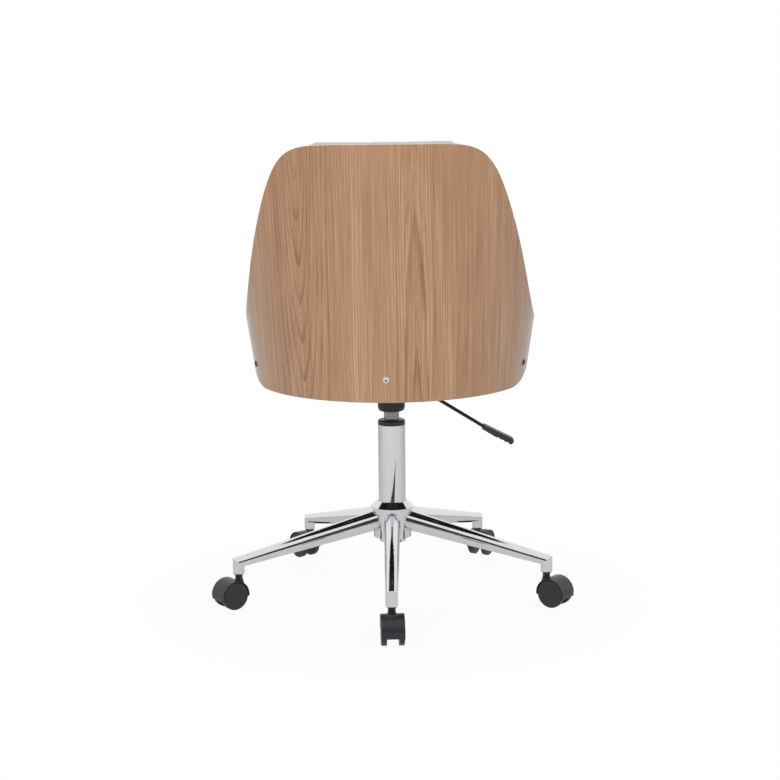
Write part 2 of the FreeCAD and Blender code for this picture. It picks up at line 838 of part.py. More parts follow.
def caster_hood():
    """Fender, web between the wheels and neck, with holes for stem and axle."""
    half = web_width / 2
    web = Part.makeCylinder(wheel_radius + hood_gap + 0.5, web_width, Vector(-half, caster_trail, wheel_radius), X_AXIS)
    web = web.common(Part.makeBox(60, 200, 60, Vector(-30, -100, web_bottom)))
    neck_top = socket_bottom - bush_drop - seat_gap
    neck_foot = stem_foot() - 3
    neck = Part.makeCone(neck_base_radius, neck_radius, neck_top - neck_foot - 6, Vector(0, 0, neck_foot))
    neck = neck.fuse(Part.makeCylinder(neck_radius, 6, Vector(0, 0, neck_top - 6)))
    wheels = Part.makeCylinder(wheel_radius + hood_gap, 100, Vector(-50, caster_trail, wheel_radius), X_AXIS)
    wheels = wheels.cut(Part.makeBox(web_width, 200, 200, Vector(-half, -100, -50)))
    hood = hood_fender().fuse([web, neck.cut(wheels)])
    hood = hood.cut(Part.makeCylinder(stem_radius, 100, Vector(0, 0, stem_foot())))
    hood = hood.cut(caster_axle())
    return hood.removeSplitter()


def stem_foot():
    """Level of the stem's lower end, inside the neck."""
    return socket_bottom - bush_drop - seat_gap - stem_depth


def caster_stem():
    """Steel stem with a bevelled tip."""
    return turned([(0, stem_foot()), (stem_radius, stem_foot()), (stem_radius, stem_top - 1.5),
                   (stem_radius - 1.5, stem_top), (0, stem_top)])


def caster_place(shape, number):
    """Copy of a caster piece, under the end of its arm and turned as it trails."""
    copy = spun(shape, caster_angles[number])
    angle = math.radians(arm_angle(number))
    copy.translate(Vector(-stem_circle * math.sin(angle), stem_circle * math.cos(angle), 0))
    return copy


def build_casters():
    """Five casters."""
    pieces = {"caster_hood": caster_hood(), "caster_stem": caster_stem(), "caster_axle": caster_axle(),
              "caster_wheel_left": caster_wheel(-1), "caster_wheel_right": caster_wheel(1)}
    for number in range(arm_count):
        for name, shape in pieces.items():
            save(f"{name}_{number + 1}", caster_place(shape, number))


os.makedirs("parts", exist_ok=True)
build_base()
build_gas_spring()
build_mechanism()
save("lever_rod", lever_rod())
save("lever_grip", lever_grip())
build_seat()
build_casters()
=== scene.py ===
# Looks of a swivel chair with a bent plywood shell, white upholstery and a chromed base.
# Metres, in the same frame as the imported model. The sitter faces -Y.
import json
import math

import bmesh
import bpy
from mathutils import Matrix, Vector
from mathutils.bvhtree import BVHTree

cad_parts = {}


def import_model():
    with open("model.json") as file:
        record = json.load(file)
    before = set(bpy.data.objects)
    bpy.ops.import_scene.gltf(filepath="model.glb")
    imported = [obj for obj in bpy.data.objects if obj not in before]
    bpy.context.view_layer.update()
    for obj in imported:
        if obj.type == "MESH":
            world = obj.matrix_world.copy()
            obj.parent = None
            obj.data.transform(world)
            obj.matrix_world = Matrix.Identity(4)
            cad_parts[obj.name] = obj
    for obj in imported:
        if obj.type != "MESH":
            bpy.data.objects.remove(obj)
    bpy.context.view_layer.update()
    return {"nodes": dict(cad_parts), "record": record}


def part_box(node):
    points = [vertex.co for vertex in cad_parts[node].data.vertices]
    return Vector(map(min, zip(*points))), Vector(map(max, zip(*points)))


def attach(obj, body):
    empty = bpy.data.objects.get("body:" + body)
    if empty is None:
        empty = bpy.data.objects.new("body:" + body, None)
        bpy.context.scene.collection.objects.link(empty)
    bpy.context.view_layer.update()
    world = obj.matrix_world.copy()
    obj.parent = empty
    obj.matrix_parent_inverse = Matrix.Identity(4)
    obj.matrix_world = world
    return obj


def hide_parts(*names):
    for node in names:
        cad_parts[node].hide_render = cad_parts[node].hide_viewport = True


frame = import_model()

# Shell: a cone with its axis raked back about the shell's level
SHELL_LEVEL = 0.397
RAKE = math.radians(2.8)
SHELL_RADIUS = 0.242
SHELL_FLARE = 0.14
SHELL_WALL = 0.010
PLY_THICKNESS = 0.00125

# Veneer: a group of arches that point down, one that points up, a dark streak and straight grain
DOWN_HEART = 0.146
DOWN_DRIFT = 0.004
DOWN_SLOPE = -0.25
DOWN_WIDTH = 0.036
DOWN_SPACING = 0.0170
UP_HEART = -0.051
UP_DRIFT = 0.002
UP_SLOPE = 0.055
UP_WIDTH = 0.019
UP_SPACING = 0.0120
STREAK_PLACE = -0.139
GRAIN_SCALE = 430.0
RIB_SPACING = 0.0046

# Upholstery
PUFF_FRAMES = 16
VOXEL = 0.006
HELD_CUSHION_LEVEL = 0.060
HELD_PAD_DEPTH = 0.004
WELT_RADIUS = 0.0021
WELT_LIFT = 0.3 * WELT_RADIUS
WELT_LEVEL = 0.088
WELT_INSET = 0.006
CUSHION_CORNER = 0.058

# Screws on the shell
SCREW_LEVEL = 0.044
SCREW_TURN = math.radians(71.5)
WASHER_HEIGHT = 0.0022
RECESS_RADIUS = 0.0021
RECESS_THICKNESS = 0.0006

# Camera, solved from the photograph
FOCAL_PIXELS = 1323.4
FRAME_PIXELS = 780
CAMERA_DISTANCE = 2.3929
CAMERA_HEIGHT = 0.72085
CAMERA_TURN = math.radians(1.9)
CAMERA_PITCH = math.radians(8.17)
CAMERA_ROLL = math.radians(0.55)
CAMERA_SHIFT_PIXELS = 1.2

# Stage: strengths are shares of white
FLOOR_HALF_WIDTH = 6.0
FLOOR_NEAR_CHAIR = 0.945
# Painted shade: the floor's grey in reflections, on the camera's side and beyond the chair
FLOOR_IN_MIRROR = 0.85
FLOOR_IN_MIRROR_FAR = 0.66
WORLD_ON_CHAIR = 0.51
LAMP_AIM = Vector((0.0, 0.0, 0.45))
CARD_GLOW = 0.06
CARD_DISTANCE = 4.5
CARD_HEIGHT = 2.3
CARD_REACH = math.radians(60)
WEDGE_DISTANCE = 0.62
WEDGE_FOOT = 0.03
WEDGE_HEIGHT = 0.14
WEDGE_REACH = math.radians(20)
WEDGE_LEAN = math.radians(-35)

scene = bpy.context.scene


# Node helpers

def add(tree, kind, inputs=None, **settings):
    """Add a node, set its properties, and set or link its inputs."""
    node = tree.nodes.new(kind)
    for name, value in settings.items():
        setattr(node, name, value)
    for key, value in (inputs or {}).items():
        if isinstance(value, bpy.types.NodeSocket):
            tree.links.new(value, node.inputs[key])
        else:
            node.inputs[key].default_value = value
    return node


def calc(tree, operation, *values):
    """Output of a Math node on one to three numbers or sockets."""
    return add(tree, "ShaderNodeMath", dict(enumerate(values)), operation=operation).outputs[0]


def colour_mix(tree, factor, first, second):
    """Output of a colour Mix node."""
    return add(tree, "ShaderNodeMix", {0: factor, 6: first, 7: second}, data_type="RGBA").outputs[2]


def noise(tree, vector, scale, detail=2.0, roughness=0.5):
    """Factor of a Noise texture."""
    inputs = {"Vector": vector, "Scale": scale, "Detail": detail, "Roughness": roughness}
    return add(tree, "ShaderNodeTexNoise", inputs).outputs[0]


def remap(tree, value, low, high, new_low, new_high, smooth=False):
    """Clamped Map Range."""
    inputs = {0: value, 1: low, 2: high, 3: new_low, 4: new_high}
    kind = "SMOOTHSTEP" if smooth else "LINEAR"
    return add(tree, "ShaderNodeMapRange", inputs, interpolation_type=kind).outputs[0]


def grey(level):
    """Opaque grey."""
    return (level, level, level, 1.0)


def surface(name, **constants):
    """New material, its node tree, its shader and its object coordinates."""
    material = bpy.data.materials.new(name)
    material.use_nodes = True
    tree = material.node_tree
    shader = tree.nodes["Principled BSDF"]
    for key, value in constants.items():
        shader.inputs[key.replace("_", " ")].default_value = value
    coords = tree.nodes.new("ShaderNodeTexCoord").outputs["Object"]
    return material, tree, shader, coords


def raise_surface(tree, shader, height, strength, distance):
    """Bump from a height."""
    bump = add(tree, "ShaderNodeBump", {"Strength": strength, "Distance": distance, "Height": height})
    tree.links.new(bump.outputs[0], shader.inputs["Normal"])


# Materials

def own_normal(tree):
    """Flat normal in the piece's own directions, so that it turns with the piece."""
    normal = tree.nodes.new("ShaderNodeNewGeometry").outputs["True Normal"]
    return add(tree, "ShaderNodeVectorTransform", {0: normal}, vector_type="NORMAL", convert_from="WORLD",
               convert_to="OBJECT").outputs[0]


def mottled(name, colour, spread, scale, roughness, bump, **constants):
    """Plain material with fine mottling in its colour, roughness and surface."""
    material, tree, shader, coords = surface(name, **constants)
    fine = noise(tree, coords, scale, 4.0)
    broad = noise(tree, coords, scale / 30, 2.0)
    both = calc(tree, "MULTIPLY_ADD", broad, 0.5, calc(tree, "MULTIPLY", fine, 0.5))
    dark = tuple(part * (1 - spread) for part in colour[:3]) + (1.0,)
    light = tuple(min(part * (1 + spread), 1.0) for part in colour[:3]) + (1.0,)
    tree.links.new(colour_mix(tree, both, dark, light), shader.inputs["Base Color"])
    rough = remap(tree, broad, 0.3, 0.7, roughness * 0.85, roughness * 1.15)
    tree.links.new(rough, shader.inputs["Roughness"])
    raise_surface(tree, shader, fine, bump, 0.0004)
    return material


def shell_coordinates(tree, coords):
    """Distance round the shell, height up it, and depth into its wall."""
    lowered = add(tree, "ShaderNodeVectorMath", {0: coords, 1: (0, 0, SHELL_LEVEL)}, operation="SUBTRACT")
    upright = add(tree, "ShaderNodeVectorRotate", {"Vector": lowered.outputs[0], "Angle": RAKE},
                  rotation_type="X_AXIS")
    parts = add(tree, "ShaderNodeSeparateXYZ", {0: upright.outputs[0]}).outputs
    across = calc(tree, "ABSOLUTE", parts[0])
    behind = calc(tree, "MAXIMUM", parts[1], 0.0)
    ahead = calc(tree, "MAXIMUM", calc(tree, "MULTIPLY", parts[1], -1.0), 0.0)
    square = calc(tree, "MULTIPLY_ADD", across, across, calc(tree, "MULTIPLY", behind, behind))
    reach = calc(tree, "SQRT", square)
    turn = calc(tree, "ARCTAN2", across, behind)
    round_back = calc(tree, "ADD", calc(tree, "MULTIPLY", reach, turn), ahead)
    along = calc(tree, "MULTIPLY", round_back, calc(tree, "SIGN", parts[0]))
    outside = calc(tree, "MULTIPLY_ADD", parts[2], SHELL_FLARE, SHELL_RADIUS)
    depth = calc(tree, "SUBTRACT", outside, reach)
    return along, parts[2], depth


def wall_facing(tree, coords):
    """How far a point of the shell faces in or out, from 0 on a cut edge to 1 on a face."""
    parts = add(tree, "ShaderNodeSeparateXYZ", {0: coords}).outputs
    behind = calc(tree, "MAXIMUM", parts[1], 0.0)
    outwards = add(tree, "ShaderNodeCombineXYZ", {0: parts[0], 1: behind}).outputs[0]
    unit = add(tree, "ShaderNodeVectorMath", {0: outwards}, operation="NORMALIZE").outputs[0]
    normal = own_normal(tree)
    product = add(tree, "ShaderNodeVectorMath", {0: unit, 1: normal}, operation="DOT_PRODUCT")
    return remap(tree, calc(tree, "ABSOLUTE", product.outputs["Value"]), 0.80, 0.90, 0.0, 1.0)


def arched_lines(tree, along, height, sway, heart, drift, slope, width, spacing):
    """Dark lines of an arched figure: steep arches along its heart, straight beside it, gone further out."""
    middle = calc(tree, "MULTIPLY_ADD", height, drift, heart)
    side = calc(tree, "SUBTRACT", along, middle)
    square = calc(tree, "MULTIPLY", side, side)
    spread = calc(tree, "SQRT", calc(tree, "ADD", square, (0.2 * width) ** 2))
    near = calc(tree, "EXPONENT", calc(tree, "DIVIDE", square, -width * width))
    rise = calc(tree, "MULTIPLY", near, height)
    rings = calc(tree, "MULTIPLY_ADD", rise, slope, calc(tree, "ADD", spread, sway))
    phase = calc(tree, "FRACT", calc(tree, "ADD", calc(tree, "DIVIDE", rings, spacing), 20.0))
    main = calc(tree, "MULTIPLY", remap(tree, phase, 0.45, 0.90, 0.0, 1.0, True),
                remap(tree, phase, 0.90, 1.0, 1.0, 0.0, True))
    thin = calc(tree, "FRACT", calc(tree, "MULTIPLY", phase, 4.0))
    thin = calc(tree, "MULTIPLY", remap(tree, thin, 0.4, 0.8, 0.0, 0.35, True),
                remap(tree, thin, 0.8, 1.0, 1.0, 0.0, True))
    present = remap(tree, calc(tree, "ABSOLUTE", side), width * 1.1, width * 2.4, 1.0, 0.0, True)
    return calc(tree, "MULTIPLY", calc(tree, "MAXIMUM", main, thin), present)


def stretched(tree, along, height, share):
    """Place on the flat veneer with its height shrunk, so that a pattern on it runs in long streaks."""
    return add(tree, "ShaderNodeCombineXYZ", {0: along, 1: calc(tree, "MULTIPLY", height, share)}).outputs[0]


def veneer_colour(tree, along, height):
    """Tan open-grained veneer with arched figure: its colour and a height for bump."""
    flow = stretched(tree, along, height, 0.22)
    sway = calc(tree, "SUBTRACT", noise(tree, flow, 13.0, 1.0), 0.5)
    waver = calc(tree, "SUBTRACT", noise(tree, flow, 110.0, 2.0), 0.5)
    shift = calc(tree, "MULTIPLY_ADD", sway, 0.012, calc(tree, "MULTIPLY", waver, 0.0030))
    down = arched_lines(tree, along, height, shift, DOWN_HEART, DOWN_DRIFT, DOWN_SLOPE, DOWN_WIDTH,
                        DOWN_SPACING)
    steady = calc(tree, "MULTIPLY_ADD", shift, 0.12, 0.0018)
    up = arched_lines(tree, along, height, steady, UP_HEART, UP_DRIFT, UP_SLOPE, UP_WIDTH, UP_SPACING)
    strength = remap(tree, noise(tree, flow, 38.0, 2.0), 0.32, 0.62, 0.25, 1.0)
    figure = calc(tree, "MULTIPLY", calc(tree, "MAXIMUM", down, up), strength)

    lane = calc(tree, "ADD", along, calc(tree, "MULTIPLY", sway, 0.010))
    beside = calc(tree, "ABSOLUTE", calc(tree, "SUBTRACT", lane, STREAK_PLACE))
    streak = calc(tree, "MAXIMUM", remap(tree, beside, 0.0007, 0.0030, 0.75, 0.0, True),
                  remap(tree, beside, 0.0, 0.030, 0.30, 0.0, True))
    streak = calc(tree, "MULTIPLY", streak, strength)

    grain = noise(tree, stretched(tree, lane, height, 0.012), GRAIN_SCALE, 1.5, 0.6)
    grain = remap(tree, grain, 0.40, 0.60, 0.0, 1.0)
    ribs = calc(tree, "MULTIPLY_ADD", waver, 0.0022, lane)
    ribs = calc(tree, "PINGPONG", calc(tree, "DIVIDE", ribs, RIB_SPACING * 0.5), 1.0)
    ribs = calc(tree, "MULTIPLY", remap(tree, ribs, 0.35, 0.85, 0.0, 1.0, True),
                remap(tree, noise(tree, flow, 60.0, 2.0), 0.35, 0.60, 0.35, 1.0))
    bands = noise(tree, stretched(tree, lane, height, 0.03), 34.0, 2.0)
    pores = noise(tree, stretched(tree, lane, height, 0.03), 1100.0, 2.0, 0.6)
    pores = remap(tree, pores, 0.50, 0.68, 0.0, 1.0)
    fibre = noise(tree, stretched(tree, along, height, 0.05), 2400.0, 2.0)

    pale = (0.494, 0.301, 0.173, 1.0)
    tan = (0.366, 0.194, 0.094, 1.0)
    colour = colour_mix(tree, remap(tree, bands, 0.3, 0.7, 0.0, 1.0), tan, pale)
    # The first layer is painted shade: it darkens the veneer towards the top of the shell; the others are
    # grain.
    layers = ((remap(tree, height, 0.05, 0.40, 0.0, 1.0), 0.16, (0.240, 0.100, 0.038, 1.0)),
              (grain, 0.48, (0.220, 0.088, 0.030, 1.0)),
              (ribs, 0.34, (0.220, 0.088, 0.030, 1.0)),
              (figure, 0.85, (0.180, 0.070, 0.027, 1.0)),
              (streak, 1.0, (0.195, 0.082, 0.034, 1.0)),
              (pores, 0.28, (0.180, 0.080, 0.035, 1.0)),
              (fibre, 0.12, (0.62, 0.43, 0.29, 1.0)))
    for mask, share, tint in layers:
        colour = colour_mix(tree, calc(tree, "MULTIPLY", mask, share), colour, tint)
    depth = calc(tree, "MULTIPLY_ADD", figure, 0.3, calc(tree, "MULTIPLY", pores, 0.7))
    return colour, calc(tree, "SUBTRACT", 1.0, depth)


def ply_colour(tree, along, height, depth):
    """Cut edge of the plywood: thin plies, every second one dark end grain."""
    phase = calc(tree, "PINGPONG", depth, PLY_THICKNESS)
    stripe = remap(tree, phase, PLY_THICKNESS * 0.35, PLY_THICKNESS * 0.65, 0.0, 1.0, True)
    layered = calc(tree, "MULTIPLY", depth, 6.0)
    place = add(tree, "ShaderNodeCombineXYZ", {0: along, 1: height, 2: layered})
    speck = noise(tree, place.outputs[0], 700.0, 3.0)
    colour = colour_mix(tree, stripe, (0.60, 0.43, 0.26, 1.0), (0.36, 0.22, 0.12, 1.0))
    return colour_mix(tree, calc(tree, "MULTIPLY", speck, 0.35), colour, (0.30, 0.18, 0.10, 1.0))


def veneered_plywood():
    """Lacquered veneer on the faces of the shell, and bare plies on its cut edges."""
    lacquer = {"Specular_IOR_Level": 0.2, "Coat_Weight": 0.85, "Coat_Roughness": 0.18, "Coat_IOR": 1.55,
               "Sheen_Weight": 0.5, "Sheen_Roughness": 0.3}
    material, tree, shader, coords = surface("veneered_plywood", **lacquer)
    along, height, depth = shell_coordinates(tree, coords)
    veneer, relief = veneer_colour(tree, along, height)
    plies = ply_colour(tree, along, height, depth)
    facing = wall_facing(tree, coords)
    tree.links.new(colour_mix(tree, facing, plies, veneer), shader.inputs["Base Color"])
    tree.links.new(remap(tree, relief, 0.0, 1.0, 0.55, 0.40), shader.inputs["Roughness"])
    raise_surface(tree, shader, relief, 0.25, 0.0003)
    return material


def coated_cloth():
    """White coated upholstery cloth with a fine pebbled grain."""
    material, tree, shader, coords = surface("coated_cloth", Specular_IOR_Level=0.12)
    cells = add(tree, "ShaderNodeTexVoronoi", {"Vector": coords, "Scale": 620.0}, feature="SMOOTH_F1")
    pebble = cells.outputs[0]
    crease = noise(tree, coords, 90.0, 5.0, 0.6)
    broad = noise(tree, coords, 7.0, 2.0)
    colour = colour_mix(tree, broad, (0.715, 0.685, 0.650, 1.0), (0.760, 0.735, 0.705, 1.0))
    # Painted shade: the grooves between pebbles, where the bump sinks, are darkened a little
    colour = colour_mix(tree, remap(tree, pebble, 0.3, 0.7, 0.0, 0.10), colour, (0.62, 0.61, 0.60, 1.0))
    tree.links.new(colour, shader.inputs["Base Color"])
    tree.links.new(remap(tree, crease, 0.3, 0.7, 0.38, 0.52), shader.inputs["Roughness"])
    height = calc(tree, "MULTIPLY_ADD", crease, 0.6, calc(tree, "MULTIPLY", pebble, -0.4))
    raise_surface(tree, shader, height, 0.22, 0.0006)
    return material


def covered_board():
    """Board with the upholstery cloth drawn round its edges, and black where it faces down."""
    material, tree, shader, coords = surface("covered_board", Specular_IOR_Level=0.12)
    normal = own_normal(tree)
    up = add(tree, "ShaderNodeSeparateXYZ", {0: normal}).outputs[2]
    # Black on the faces turned down, where the seat's underside is in shade
    turned_down = remap(tree, up, -0.8, -0.6, 1.0, 0.0)
    fleece = noise(tree, coords, 900.0, 4.0, 0.7)
    crease = noise(tree, coords, 90.0, 5.0, 0.6)
    colour = colour_mix(tree, crease, (0.715, 0.690, 0.655, 1.0), (0.765, 0.745, 0.715, 1.0))
    underside_black = colour_mix(tree, fleece, (0.010, 0.010, 0.011, 1.0), (0.030, 0.030, 0.031, 1.0))
    tree.links.new(colour_mix(tree, turned_down, colour, underside_black), shader.inputs["Base Color"])
    tree.links.new(remap(tree, turned_down, 0.0, 1.0, 0.46, 0.95), shader.inputs["Roughness"])
    raise_surface(tree, shader, fleece, 0.2, 0.0004)
    return material


def washer_steel():
    """Bright steel on the middle washer, and painted shade that darkens the two at the sides."""
    material, tree, shader, coords = surface("washer_steel", Metallic=1.0, Roughness=0.22)
    across = calc(tree, "ABSOLUTE", add(tree, "ShaderNodeSeparateXYZ", {0: coords}).outputs[0])
    # Painted shade: washers more than 0.10 to 0.15 m to the side get a dark steel colour
    side = remap(tree, across, 0.10, 0.15, 0.0, 1.0)
    fine = noise(tree, coords, 600.0, 3.0)
    bright = colour_mix(tree, fine, (0.72, 0.725, 0.73, 1.0), (0.78, 0.785, 0.79, 1.0))
    tree.links.new(colour_mix(tree, side, bright, (0.11, 0.105, 0.10, 1.0)), shader.inputs["Base Color"])
    return material


def chrome_plate():
    """Bright plating with faint wiping marks."""
    material, tree, shader, coords = surface("chrome_plate", Metallic=1.0)
    haze = noise(tree, coords, 40.0, 3.0)
    wipe = noise(tree, coords, 260.0, 3.0, 0.6)
    tree.links.new(colour_mix(tree, haze, (0.685, 0.695, 0.712, 1.0), (0.735, 0.745, 0.760, 1.0)),
                   shader.inputs["Base Color"])
    tree.links.new(remap(tree, wipe, 0.35, 0.75, 0.035, 0.085), shader.inputs["Roughness"])
    return material


def dress_nodes():
    """Give every node that stays the material of its slot or its own."""
    chrome = chrome_plate()
    steel = mottled("plain_steel", (0.46, 0.46, 0.47), 0.15, 500.0, 0.32, 0.10, Metallic=1.0)
    nylon = mottled("black_nylon", (0.0150, 0.0162, 0.0198), 0.25, 1500.0, 0.37, 0.18)
    natural = mottled("natural_nylon", (0.72, 0.71, 0.66), 0.05, 900.0, 0.45, 0.10)
    grip = mottled("grip_plastic", (0.026, 0.027, 0.029), 0.25, 1800.0, 0.40, 0.30)
    sprayed = mottled("grey_paint", (0.30, 0.30, 0.305), 0.12, 1200.0, 0.26, 0.12, Metallic=0.8)
    black = mottled("black_paint", (0.012, 0.012, 0.013), 0.2, 1100.0, 0.17, 0.10, Specular_IOR_Level=0.35)
    rubber = mottled("black_rubber", (0.028, 0.028, 0.028), 0.2, 900.0, 0.7, 0.25)
    by_slot = {"chrome": chrome, "steel": steel, "grey_paint": sprayed, "black_paint": black,
               "black_plastic": nylon, "white_plastic": natural, "black_rubber": rubber,
               "oak_veneer": veneered_plywood(), "plywood": covered_board()}
    by_node = {"lever_grip": grip, "cup_washers": washer_steel()}
    slots = {part["node"]: part["material_slot"] for part in frame["record"]["subparts"]}
    for name, piece in frame["nodes"].items():
        slot = slots[name]
        if slot in by_slot:
            finish = by_node.get(name, by_slot[slot])
            piece.data.materials.clear()
            piece.data.materials.append(finish)


# Upholstery

def copied_piece(name, node):
    """Free copy of a node's mesh that rides with the seat and stands for the node."""
    source = frame["nodes"][node]
    piece = bpy.data.objects.new(name, source.data.copy())
    scene.collection.objects.link(piece)
    piece.data.materials.clear()
    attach(piece, "seat")
    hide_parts(node)
    return piece


def apply_modifiers(piece):
    """Replace a piece's mesh by its mesh with modifiers applied."""
    graph = bpy.context.evaluated_depsgraph_get()
    mesh = bpy.data.meshes.new_from_object(piece.evaluated_get(graph))
    piece.modifiers.clear()
    piece.data = mesh


def remeshed(piece):
    """Even quads over a piece."""
    modifier = piece.modifiers.new("even", "REMESH")
    modifier.mode = "VOXEL"
    modifier.voxel_size = VOXEL
    apply_modifiers(piece)


def shrunk(piece, amount):
    """Move every point inwards along its normal, to leave room for the swelling."""
    mesh = piece.data
    normals = [Vector(vertex.normal) for vertex in mesh.vertices]
    for vertex, normal in zip(mesh.vertices, normals):
        vertex.co -= normal * amount


def puffed(piece, pressure, cap, held):
    """Swell a piece as cloth under pressure, with points that a test picks held still."""
    start = [vertex.co.copy() for vertex in piece.data.vertices]
    group = piece.vertex_groups.new(name="held")
    group.add([number for number, place in enumerate(start) if held(place)], 1.0, "REPLACE")
    modifier = piece.modifiers.new("puff", "CLOTH")
    settings = modifier.settings
    settings.quality = 3
    settings.use_pressure = True
    settings.uniform_pressure_force = pressure
    settings.effector_weights.gravity = 0.0
    settings.vertex_group_mass = "held"
    settings.tension_stiffness = 12.0
    settings.compression_stiffness = 12.0
    settings.bending_stiffness = 0.6
    for number in range(1, PUFF_FRAMES + 1):
        scene.frame_set(number)
    apply_modifiers(piece)
    scene.frame_set(1)
    for vertex, place in zip(piece.data.vertices, start):
        step = vertex.co - place
        if step.length > cap:
            vertex.co = place + step * (cap / step.length)


def smoothed(piece, rounds):
    """Even out a mesh and shade it smooth."""
    mesh = bmesh.new()
    mesh.from_mesh(piece.data)
    for _ in range(rounds):
        bmesh.ops.smooth_vert(mesh, verts=mesh.verts, factor=0.5, use_axis_x=True, use_axis_y=True,
                              use_axis_z=True)
    for face in mesh.faces:
        face.smooth = True
    mesh.to_mesh(piece.data)
    mesh.free()


def filled_height(piece, node):
    """Stretch a piece upwards until it is as tall as its solid again."""
    levels = [vertex.co.z for vertex in piece.data.vertices]
    low = min(levels)
    stretch = (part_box(node)[1][2] - low) / (max(levels) - low)
    for vertex in piece.data.vertices:
        vertex.co.z = low + (vertex.co.z - low) * stretch


def raked(place):
    """Point from the shell's upright frame to the model's frame."""
    return Matrix.Rotation(-RAKE, 3, "X") @ Vector(place) + Vector((0, 0, SHELL_LEVEL))


def upright(place):
    """Point from the model's frame to the shell's upright frame."""
    return Matrix.Rotation(RAKE, 3, "X") @ (Vector(place) - Vector((0, 0, SHELL_LEVEL)))


def welt(name, places, onto, material):
    """Closed welt along a ring of places, laid on a piece's surface."""
    tree = BVHTree.FromObject(onto, bpy.context.evaluated_depsgraph_get())
    line = bpy.data.curves.new(name, "CURVE")
    line.dimensions = "3D"
    line.bevel_depth = WELT_RADIUS
    line.bevel_resolution = 3
    spline = line.splines.new("POLY")
    spline.points.add(len(places) - 1)
    for point, place in zip(spline.points, places):
        near, normal, _, _ = tree.find_nearest(place)
        point.co = (*(near + normal * WELT_LIFT), 1.0)
    spline.use_cyclic_u = True
    piece = bpy.data.objects.new(name, line)
    scene.collection.objects.link(piece)
    line.materials.append(material)
    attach(piece, "seat")


def arc(middle, radius, start, turn, steps):
    """Points along an arc, without its last one."""
    angles = [start + turn * number / steps for number in range(steps)]
    return [(middle[0] + radius * math.cos(angle), middle[1] + radius * math.sin(angle)) for angle in angles]


def straight(start, end, steps):
    """Points along a straight line, without its last one."""
    return [tuple(Vector(start).lerp(Vector(end), number / steps)) for number in range(steps)]


def welt_places():
    """Places round the cushion: half round behind, straight beside and rounded at the front corners."""
    low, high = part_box("seat_cushion")
    radius = high[0] - WELT_INSET
    front = low[1] + WELT_INSET
    corner = CUSHION_CORNER - WELT_INSET
    turn = math.pi / 2
    ring = arc((0, 0), radius, 0, math.pi, 100)
    ring += straight((-radius, 0), (-radius, front + corner), 25)
    ring += arc((corner - radius, front + corner), corner, math.pi, turn, 10)
    ring += straight((corner - radius, front), (radius - corner, front), 25)
    ring += arc((radius - corner, front + corner), corner, math.pi + turn, turn, 10)
    ring += straight((radius, front + corner), (radius, 0), 25)
    return [raked((x, y, WELT_LEVEL)) for x, y in ring]


def seat_cushion(cloth):
    """Crowned cushion with a welt round its top edge."""
    cushion = copied_piece("seat_cushion_cover", "seat_cushion")
    remeshed(cushion)
    shrunk(cushion, 0.004)
    puffed(cushion, 4.0, 0.010, lambda place: upright(place).z < HELD_CUSHION_LEVEL)
    smoothed(cushion, 3)
    cushion.data.materials.append(cloth)
    welt("seat_cushion_welt", welt_places(), cushion, cloth)


def behind_wall(place):
    """Distance of a place in from the inside of the shell."""
    local = upright(place)
    inside = SHELL_RADIUS + SHELL_FLARE * local.z - SHELL_WALL
    return inside - math.hypot(local.x, local.y)


def back_pad(cloth):
    """Curved pad inside the back."""
    pad = copied_piece("back_pad_cover", "back_pad")
    remeshed(pad)
    puffed(pad, 3.0, 0.005, lambda place: behind_wall(place) < HELD_PAD_DEPTH)
    smoothed(pad, 2)
    filled_height(pad, "back_pad")
    pad.data.materials.append(cloth)


def recess_shade_discs(material):
    """Dark disc in the middle of each cup washer on the shell: painted shade of its driver recess."""
    lean = math.atan(SHELL_FLARE)
    reach = SHELL_RADIUS + SHELL_FLARE * SCREW_LEVEL
    for number, turn in enumerate((0.0, SCREW_TURN, -SCREW_TURN), 1):
        outwards = Vector((math.sin(turn) * math.cos(lean), math.cos(turn) * math.cos(lean), -math.sin(lean)))
        foot = Vector((math.sin(turn) * reach, math.cos(turn) * reach, SCREW_LEVEL))
        mesh = bmesh.new()
        bmesh.ops.create_cone(mesh, cap_ends=True, segments=6, radius1=RECESS_RADIUS,
                              radius2=RECESS_RADIUS * 0.9, depth=RECESS_THICKNESS)
        facing = outwards.to_track_quat("Z", "Y").to_matrix().to_4x4()
        bmesh.ops.transform(mesh, matrix=facing, verts=mesh.verts)
        for vertex in mesh.verts:
            vertex.co = raked(vertex.co + foot + outwards * (WASHER_HEIGHT - 0.0001))
        data = bpy.data.meshes.new(f"screw_recess_{number}")
        mesh.to_mesh(data)
        mesh.free()
        data.materials.append(material)
        piece = bpy.data.objects.new(f"screw_recess_{number}", data)
        scene.collection.objects.link(piece)
        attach(piece, "seat")


# Stage, light and camera

def bare_material(name):
    """New material without a shader, and its node tree."""
    material = bpy.data.materials.new(name)
    material.use_nodes = True
    material.node_tree.nodes.clear()
    return material, material.node_tree


